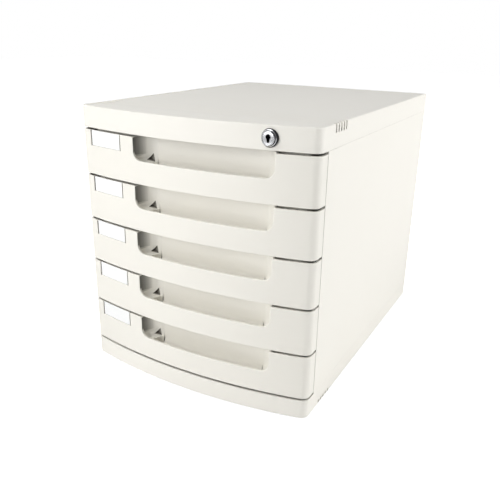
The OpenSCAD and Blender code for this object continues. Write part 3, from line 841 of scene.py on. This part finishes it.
def label_cutters():
    """Recess of the label, open at the top, and the grooves at its two ends."""
    u0 = OUTLINE.u_of(LABEL_X0)
    u1 = OUTLINE.u_of(LABEL_X0 + LABEL_W)
    z0, z1 = front_hi.z - LABEL_H, front_hi.z + 2 * MM
    flare = 0.25 * MM         # how much wider the recess is at the face

    def box_rings(a0, a1, b0, b1, depth):
        rows = [(flare + 0.5 * MM, -0.5 * MM), (0, flare), (0, depth)]
        return ring_solid([
            [(a0 - e, d, b0 - e), (a1 + e, d, b0 - e), (a1 + e, d, b1), (a0 - e, d, b1)] for e, d in rows
        ])

    recess = box_rings(u0, u1, z0, z1, LABEL_D)
    left = box_rings(u0, u0 + GROOVE, z0, z1, GROOVE_D)
    right = box_rings(u1 + 0.5 * MM, u1 + 0.5 * MM + GROOVE, z0, z1, GROOVE_D)
    return recess, left, right


def pocket_fillet(side, cx, y0, r):
    """Hollow fillet between the pocket's end wall and its floor, running out towards the tray."""
    top = front_hi.z - HANDLE_H + FILLET_RISE
    steps = 8
    section = [(-0.8 * MM, top + 1.5 * MM), (0.15 * MM, top)]
    for i in range(1, steps + 1):
        a = math.pi / 2 * i / steps
        section.append((FILLET_R * (1 - math.cos(a)), top - FILLET_R * math.sin(a)))
    foot = top - FILLET_R - FILLET_FOOT
    section += [(FILLET_R, foot), (-0.8 * MM, foot)]
    rings = []
    for i in range(13):
        degrees = FILLET_START + (FILLET_END - FILLET_START) * i / 12
        a = math.radians(degrees)
        fade = smoothstep((degrees - FILLET_FADE) / (FILLET_END - FILLET_FADE))
        share = 1 - FILLET_LOSS * fade
        radii = [(r - (d * share if d > 0 else d), z) for d, z in section]
        rings.append([(cx + side * s * math.cos(a), y0 + s * math.sin(a), z) for s, z in radii])
    return ring_solid(rings)


def pocket_end(side):
    """Curved end wall of the finger pocket; the left one has the wedge window at its foot."""
    edge = HANDLE_X1 if side > 0 else HANDLE_X0
    y0 = OUTLINE.face_y(edge)
    r = Y_POCKET - y0
    cx = edge - side * r
    z0 = front_hi.z - HANDLE_H - SCOOP_R - SCOOP_DROP - POCKET_T
    start = math.degrees(math.asin(SKIN * 0.7 / r))
    stop = math.degrees(math.asin(1 - 0.03 * MM / r))
    inner = arc(cx, y0, r, start, stop, 20)
    outer = [p for p in arc(cx, y0, r + POCKET_T, start, 90, 20) if p[1] < Y_POCKET - CLEAR]
    reach = math.sqrt((r + POCKET_T)**2 - (r - CLEAR)**2)
    back = Y_POCKET - CLEAR
    outline = outer + [(cx + reach, back), (cx + reach * 0.5, back)] + inner[::-1]
    if side < 0:
        outline = [(2 * cx - x, y) for x, y in outline][::-1]
    wall = prism(outline, lambda a, b, t: (a, b, z0 + t), front_hi.z - z0 - 0.2 * MM, 0.3 * MM)
    wall = fuse(wall, pocket_fillet(side, cx, y0, r))
    if side > 0:
        return wall
    wedge = [(edge + r * share, front_hi.z - HANDLE_H + rise) for share, rise in WINDOW]
    window = prism(wedge, lambda a, b, t: (a, y0 + t, b), r + 2 * MM)
    return cut(wall, window)


def pocket_floor():
    """Floor of the finger pocket behind the lip, round the tray's scoop."""
    lip = front_hi.z - HANDLE_H
    z0 = lip - SCOOP_R - SCOOP_DROP - POCKET_T
    x0, x1 = HANDLE_X0 - POCKET_T, HANDLE_X1 + POCKET_T
    end0 = HANDLE_X0 + Y_POCKET - OUTLINE.face_y(HANDLE_X0)
    end1 = HANDLE_X1 - Y_POCKET + OUTLINE.face_y(HANDLE_X1)
    back, shelf = Y_POCKET - CLEAR, Y_POCKET - SCOOP_R - POCKET_T - CLEAR
    count = 32
    bow = [OUTLINE.at(OUTLINE.u_of(x0 + (x1 - x0) * i / count), SKIN * 0.6) for i in range(count + 1)]
    outline = bow + [(x1, back), (end1, back), (end1, shelf), (end0, shelf), (end0, back), (x0, back)]
    return prism(outline, lambda a, b, t: (a, b, z0 + t), POCKET_T)


def make_front():
    """Bowed skin with its label recess, and the finger pocket, side webs and foot behind it."""
    rings = [(i, d) for i, d in quarter(SKIN_R)]
    rings += [(i, SKIN - d) for i, d in reversed(quarter(SOFT, 2))]
    flat = ring_solid([[(u, d, z) for u, z in front_loop(i)] for i, d in rings])
    skin = wrap(cut(flat, *label_cutters()))
    z0, z1 = front_lo.z, front_hi.z
    half = tray_hi.x
    parts = [pocket_end(-1), pocket_end(1), pocket_floor()]
    for side in (-1, 1):
        xs = sorted((side * (half - 3 * MM), side * (half - 5 * MM)))
        parts.append(soft_box((xs[0], Y_APEX + BOW - 1 * MM, z0 + 0.3 * MM),
                              (xs[1], Y_POCKET - CLEAR, z1 - 4 * MM)))
    count = 40
    reach = HALF_W - SKIN
    bow = [OUTLINE.at(OUTLINE.arc_len * (2 * i / count - 1), SKIN * 0.6) for i in range(count + 1)]
    foot = bow + [(reach, Y_POCKET - CLEAR), (-reach, Y_POCKET - CLEAR)]
    parts.append(prism(foot, lambda a, b, t: (a, b, z0 + 0.1 * MM + t), POCKET_T, 0.2 * MM))
    mesh = skin
    for part in parts:
        mesh = fuse(mesh, part)
    return mesh


def make_card():
    """Card in the label's recess, bowed like the front."""
    u0 = OUTLINE.u_of(LABEL_X0) + GROOVE
    u1 = OUTLINE.u_of(LABEL_X0 + LABEL_W) - GROOVE
    z0, z1 = front_hi.z - LABEL_H + 0.1 * MM, front_hi.z - 0.3 * MM
    loop = [(u0, z0), (u1, z0), (u1, z1), (u0, z1)]
    flat = prism(loop, lambda a, b, t: (a, LABEL_D - CARD_T + t, b), CARD_T, 0.08 * MM, 1)
    return wrap(flat)


def tray_loop(inset, z):
    """Plan of the tray with its rounded corners, at a height z."""
    x, y0, y1 = tray_hi.x - inset, Y_POCKET + inset, tray_hi.y - inset
    r = max(TRAY_R - inset, 0.6 * MM)
    corners = [(x - r, y0 + r, -90), (x - r, y1 - r, 0), (-x + r, y1 - r, 90), (-x + r, y0 + r, 180)]
    points = [p for cx, cy, a in corners for p in arc(cx, cy, r, a, a + 90, 5)]
    return [(px, py, z) for px, py in points]


def make_tray():
    """Open tray with the hollow scoop at its front and three low ribs on its floor."""
    z0, z1 = tray_lo.z, tray_hi.z
    rings = [(i, z0 + d) for i, d in quarter(1.0 * MM)]
    rings += [(i, z1 - d) for i, d in reversed(quarter(0.8 * MM, 3))]
    rings += [(TRAY_T - i, z1 - d) for i, d in quarter(0.8 * MM, 3)]
    rings += [(TRAY_T + i, z0 + TRAY_T + d) for i, d in reversed(quarter(1.6 * MM))]
    mesh = ring_solid([tray_loop(i, z) for i, z in rings])
    lip = front_hi.z - HANDLE_H
    cy, cz = Y_POCKET - SCOOP_R, lip - SCOOP_DROP
    x0 = HANDLE_X0 + Y_POCKET - OUTLINE.face_y(HANDLE_X0) + CLEAR
    x1 = HANDLE_X1 - Y_POCKET + OUTLINE.face_y(HANDLE_X1) - CLEAR
    outer = arc(cy, cz, SCOOP_R + POCKET_T, -90, -8, 16)
    inner = arc(cy, cz, SCOOP_R, -2, -90, 16)
    outline = outer + [(Y_POCKET + 0.8 * MM, cz - 1 * MM), (Y_POCKET + 0.8 * MM, cz)] + inner
    scoop = prism(outline, lambda a, b, t: (x0 + t, a, b), x1 - x0)
    ribs = [
        soft_box((x - RIB_W / 2, Y_POCKET + RIB_END, z0 + TRAY_T - 0.4 * MM),
                 (x + RIB_W / 2, tray_hi.y - RIB_END, z0 + TRAY_T + 0.6 * MM), 0.3 * MM)
        for x in (-RIB_X, 0.0, RIB_X)
    ]
    mesh = fuse(mesh, scoop)
    for rib in ribs:
        mesh = fuse(mesh, rib)
    bm = from_mesh(mesh)
    # cuts for the painted shade behind the wedge window
    split_along(bm, 0, (WINDOW_X0, WINDOW_X1))
    split_along(bm, 2, (WINDOW_Z0, WINDOW_Z1))
    return to_mesh(bm)


def behind_window(point, normal):
    """The part of the tray's front wall that only the window shows, painted dark as shade."""
    return (WINDOW_X0 < point.x < WINDOW_X1 and abs(point.y - Y_POCKET) < 0.2 * MM
            and WINDOW_Z0 < point.z < WINDOW_Z1)


def in_pocket_end(point, normal):
    """The finger pocket's left end wall, from the skin's edge to past the window, where shadow is
    painted.
    """
    return (-0.3 * MM < point.x - HANDLE_X0 < SHADE_W and normal.x > 0.2 and WINDOW_Z0 < point.z
            and OUTLINE.face_y(point.x) + 0.4 * MM < point.y < Y_POCKET)


def inside_window(point, normal):
    """The window's own walls, painted dark as shade."""
    return (WINDOW_X0 < point.x < WINDOW_X1 and abs(normal.y) < 0.02 and abs(normal.x) > 0.1
            and WINDOW_Z0 < point.z < WINDOW_Z1 and point.y < Y_POCKET - 0.1 * MM
            and point.y > OUTLINE.face_y(point.x) + SKIN + 1 * MM)


# ---------------------------------------------------------------- lock


def make_lock():
    """Flanged barrel with its stepped flank, and the plug with its keyhole."""
    x = (barrel_lo.x + barrel_hi.x) / 2
    z = (barrel_lo.z + barrel_hi.z) / 2
    r = (barrel_hi.x - barrel_lo.x) / 2
    y0, y1 = barrel_lo.y, barrel_hi.y
    seat = y0 + LOCK_SEAT
    plug_r = (plug_hi.x - plug_lo.x) / 2
    barrel = lathe([
        (plug_r + 0.2 * MM, y0 + 0.7 * MM), (plug_r + 0.3 * MM, y0 + 0.2 * MM), (plug_r + 0.5 * MM, y0),
        (LOCK_FACE_R - 0.2 * MM, y0), (LOCK_FACE_R, y0 + 0.2 * MM), (r - 1.5 * MM, y0 + 1.5 * MM),
        (r - 1.1 * MM, y0 + 1.7 * MM), (r - 0.9 * MM, y0 + 2.0 * MM), (r - 0.3 * MM, y0 + 2.7 * MM),
        (r, y0 + 3.0 * MM), (r, seat), (LOCK_BODY_R, seat), (LOCK_BODY_R, y1), (plug_r + 0.2 * MM, y1),
    ], (x, z), 128)
    face = y0 + 0.3 * MM
    plug = lathe([
        (0, face), (plug_r - 0.3 * MM, face), (plug_r - 0.1 * MM, face + 0.1 * MM),
        (plug_r, face + 0.3 * MM), (plug_r, plug_hi.y), (0, plug_hi.y),
    ], (x, z), 128)
    hole_r, slot = 2.7 * MM, 1.1 * MM
    outline = arc(0, 1.2 * MM, hole_r, -50, 230, 28)
    outline += [(-slot, -4.2 * MM), (0, -4.6 * MM), (slot, -4.2 * MM)]
    keyhole = prism(outline, lambda a, b, t: (x + a, y0 - 1 * MM + t, z + b), 9 * MM)
    return barrel, cut(plug, keyhole), Vector((x, y0, z))


def repaint(obj, material, test):
    """Gives the faces whose centre and normal pass the test another material."""
    obj.data.materials.append(material)
    index = len(obj.data.materials) - 1
    for face in obj.data.polygons:
        if test(face.center, face.normal):
            face.material_index = index


def make_feet():
    """Four round pads under the base."""
    meshes = []
    for side in (-1, 1):
        for y in (Y_APEX + BOW + FOOT_END, Y_BACK - FOOT_END):
            profile = [(0, 0.0), (FOOT_R - 0.6 * MM, 0.0), (FOOT_R, 0.6 * MM), (FOOT_R, FOOT_H),
                       (0, FOOT_H)]
            pad = lathe(profile, (0.0, 0.0), 64)
            pad.transform(Matrix.Rotation(math.pi / 2, 4, "X"))
            pad.transform(Matrix.Translation((side * (HALF_W - FOOT_SIDE), y, 0)))
            meshes.append(pad)
    return joined(meshes)


# ---------------------------------------------------------------- assembly

piece("cover_shell", make_top_cover(), "housing", ["top_cover"], shell_plastic)
piece("base_shell", make_base(), "housing", ["base"], shell_plastic)
right_panel = make_side()
piece("side_shell_right", right_panel, "housing", ["right_side"], shell_plastic)
piece("side_shell_left", mirrored(right_panel), "housing", ["left_side"], shell_plastic)
piece("runner_rails_right", make_runners(1), "housing", ["right_runners"], tray_plastic)
piece("runner_rails_left", make_runners(-1), "housing", ["left_runners"], tray_plastic)
piece("rubber_feet", make_feet(), "housing", ["foot_pads"], foot_rubber)

barrel, plug, lock_at = make_lock()


def lock_radius(point):
    """Distance of a point from the lock's axis."""
    return math.hypot(point.x - lock_at.x, point.z - lock_at.z)


def on_flank(point, normal):
    """The flange's flank but for the bright step in it; the flank gets a painted dark reflection."""
    depth = point.y - lock_at.y
    before_step = 0.2 * MM < depth < 1.5 * MM
    behind_step = 2.0 * MM < depth < 6 * MM
    return lock_radius(point) > LOCK_FACE_R and (before_step or behind_step)


def in_keyhole(point, normal):
    """The keyhole's walls and floor, with the plug's hidden back, which get painted shade."""
    return lock_radius(point) < 5.5 * MM and point.y > lock_at.y + 0.6 * MM


collar = piece("lock_collar", barrel, "housing", ["lock_barrel"], lock_chrome)
# painted dark reflection on the flange's flank
repaint(collar, lock_painted_shade, on_flank)
face = piece("lock_face", plug, "lock_core", ["lock_plug"], lock_chrome)
# painted shade in the keyhole
repaint(face, lock_painted_shade, in_keyhole)

front_mesh, card_mesh, tray_mesh = make_front(), make_card(), make_tray()
for n in range(1, DRAWERS + 1):
    drop = -(n - 1) * PITCH
    body = f"drawer_{n}"

    def at_top(test):
        """The test as it is for the top drawer, made for this one."""
        return lambda point, normal: test(Vector((point.x, point.y, point.z - drop)), normal)

    front = piece(f"drawer_front_{n}", lifted(front_mesh, drop), body, [f"front_{n}"],
                  front_plastic)
    # painted shadow on the finger pocket's left end wall
    repaint(front, pocket_painted_shade, at_top(in_pocket_end))
    # painted shade on the wedge window's walls
    repaint(front, painted_window_shade, at_top(inside_window))
    piece(f"paper_card_{n}", lifted(card_mesh, drop), body, [f"label_card_{n}"], card_paper)
    tray = piece(f"drawer_tray_{n}", lifted(tray_mesh, drop), body, [f"tray_{n}"],
                 tray_plastic)
    # painted shade on the tray wall behind the wedge window
    repaint(tray, painted_window_shade, at_top(behind_window))

kept = {"shell": shell_plastic, "tray": tray_plastic, "steel": zinc_steel, "bar": bar_plastic,
        "chrome": lock_chrome, "rubber": foot_rubber, "front": front_plastic, "card": card_paper}
slot_of = {row["node"]: row["material_slot"] for row in frame["record"]["subparts"]}
for name, obj in frame["nodes"].items():
    obj.data.materials.clear()
    obj.data.materials.append(kept[slot_of[name]])

# ---------------------------------------------------------------- stage

floor_mesh = bpy.data.meshes.new("floor")
FLOOR_HALF = 6.0
corners = [(x * FLOOR_HALF, y * FLOOR_HALF, 0) for x, y in ((-1, -1), (1, -1), (1, 1), (-1, 1))]
floor_mesh.from_pydata(corners, [], [(0, 1, 2, 3)])
floor = bpy.data.objects.new("floor", floor_mesh)
bpy.context.scene.collection.objects.link(floor)

floor_paint, nodes, links, shader = new_material("floor_paint")
shader.inputs["Base Color"].default_value = (0.85, 0.85, 0.85, 1)
shader.inputs["Roughness"].default_value = 0.9
# The floor adds a glow that only the camera sees, so that it looks as plain as the room.
glow = nodes.new("ShaderNodeEmission")
rays = nodes.new("ShaderNodeLightPath")
seen = nodes.new("ShaderNodeMath")
seen.operation = "MULTIPLY"
seen.inputs[1].default_value = 0.90
add = nodes.new("ShaderNodeAddShader")
links.new(rays.outputs["Is Camera Ray"], seen.inputs[0])
links.new(seen.outputs[0], glow.inputs["Strength"])
links.new(shader.outputs[0], add.inputs[0])
links.new(glow.outputs[0], add.inputs[1])
links.new(add.outputs[0], nodes["Material Output"].inputs["Surface"])
floor_mesh.materials.append(floor_paint)

world = bpy.data.worlds.new("studio")
bpy.context.scene.world = world
world.use_nodes = True
nodes, links = world.node_tree.nodes, world.node_tree.links
sky = nodes["Background"]
sky.inputs["Color"].default_value = (1, 1, 1, 1)

AMBIENT = 0.08            # the room's light on the object
GLOSS = 1.15              # what shiny surfaces see of the room
DARK_SIDE = (0.45, -0.85, 0.25)   # direction in which the room is darkest


def math_node(operation, *values):
    """Result of a math node in the world's tree; each value is a number or a socket."""
    node = nodes.new("ShaderNodeMath")
    node.operation = operation
    for i, value in enumerate(values):
        if isinstance(value, (int, float)):
            node.inputs[i].default_value = value
        else:
            links.new(value, node.inputs[i])
    return node.outputs[0]


# The camera sees a plain white room. The object is lit by a dim one, and shiny surfaces show a
# brighter one that is dark towards DARK_SIDE.
rays = nodes.new("ShaderNodeLightPath")
direction = nodes.new("ShaderNodeTexCoord")
toward = nodes.new("ShaderNodeVectorMath")
toward.operation = "DOT_PRODUCT"
toward.inputs[1].default_value = Vector(DARK_SIDE).normalized()
links.new(direction.outputs["Generated"], toward.inputs[0])
dark = nodes.new("ShaderNodeMapRange")
dark.interpolation_type = "SMOOTHSTEP"
for label, value in (("From Min", 0.15), ("From Max", 0.85), ("To Min", 1.0), ("To Max", 0.12)):
    dark.inputs[label].default_value = value
links.new(toward.outputs["Value"], dark.inputs["Value"])
room = math_node("MULTIPLY_ADD", rays.outputs["Is Glossy Ray"], GLOSS - AMBIENT, AMBIENT)
lit = math_node("MULTIPLY", room, dark.outputs["Result"])
seen = math_node("MAXIMUM", rays.outputs["Is Camera Ray"], rays.outputs["Is Transmission Ray"])
links.new(math_node("MAXIMUM", lit, seen), sky.inputs["Strength"])


LIGHTS_AIM = Vector((0.0, 0.0, 0.16))     # the middle of the cabinet


def area_light(name, azimuth, elevation, distance, size, power):
    """Soft box aimed at the cabinet, at an azimuth from the front and an elevation in degrees.

    The azimuth is positive to the right.
    """
    data = bpy.data.lights.new(name, "AREA")
    data.shape = "RECTANGLE"
    data.size, data.size_y = size
    data.energy = power
    lamp = bpy.data.objects.new(name, data)
    a, e = math.radians(azimuth), math.radians(elevation)
    away = Vector((math.sin(a) * math.cos(e), -math.cos(a) * math.cos(e), math.sin(e)))
    lamp.location = LIGHTS_AIM + away * distance
    lamp.rotation_euler = (-away).to_track_quat("-Z", "Y").to_euler()
    bpy.context.scene.collection.objects.link(lamp)


area_light("key_left", -19, 18, 1.4, (0.9, 0.9), 10.5)
area_light("fill_right", 108, 14, 2.4, (1.4, 1.4), 45)
area_light("top_soft", -36, 62, 2.4, (1.6, 1.6), 24)

# ---------------------------------------------------------------- camera

CAMERA_AT = Vector((0.3593, -0.7057, 0.4076))
YAW, PITCH_DOWN, ROLL = 0.5010, 0.3560, 0.0190
FOCAL_PX = 596.55
PICTURE_PX = 500
SENSOR = 36.0

level = math.cos(PITCH_DOWN)
ahead = Vector((-math.sin(YAW) * level, math.cos(YAW) * level, -math.sin(PITCH_DOWN)))
right = Vector((math.cos(YAW), math.sin(YAW), 0))
above = right.cross(ahead)
right, above = (right * math.cos(ROLL) + above * math.sin(ROLL),
                above * math.cos(ROLL) - right * math.sin(ROLL))
camera_data = bpy.data.cameras.new("camera")
camera_data.sensor_width = SENSOR
camera_data.lens = SENSOR * FOCAL_PX / PICTURE_PX
camera_data.clip_start = 0.01
camera = bpy.data.objects.new("camera", camera_data)
turn = Matrix((right, above, -ahead)).transposed().to_4x4()
camera.matrix_world = Matrix.Translation(CAMERA_AT) @ turn
bpy.context.scene.collection.objects.link(camera)
bpy.context.scene.camera = camera

bpy.context.scene.view_settings.view_transform = "Standard"
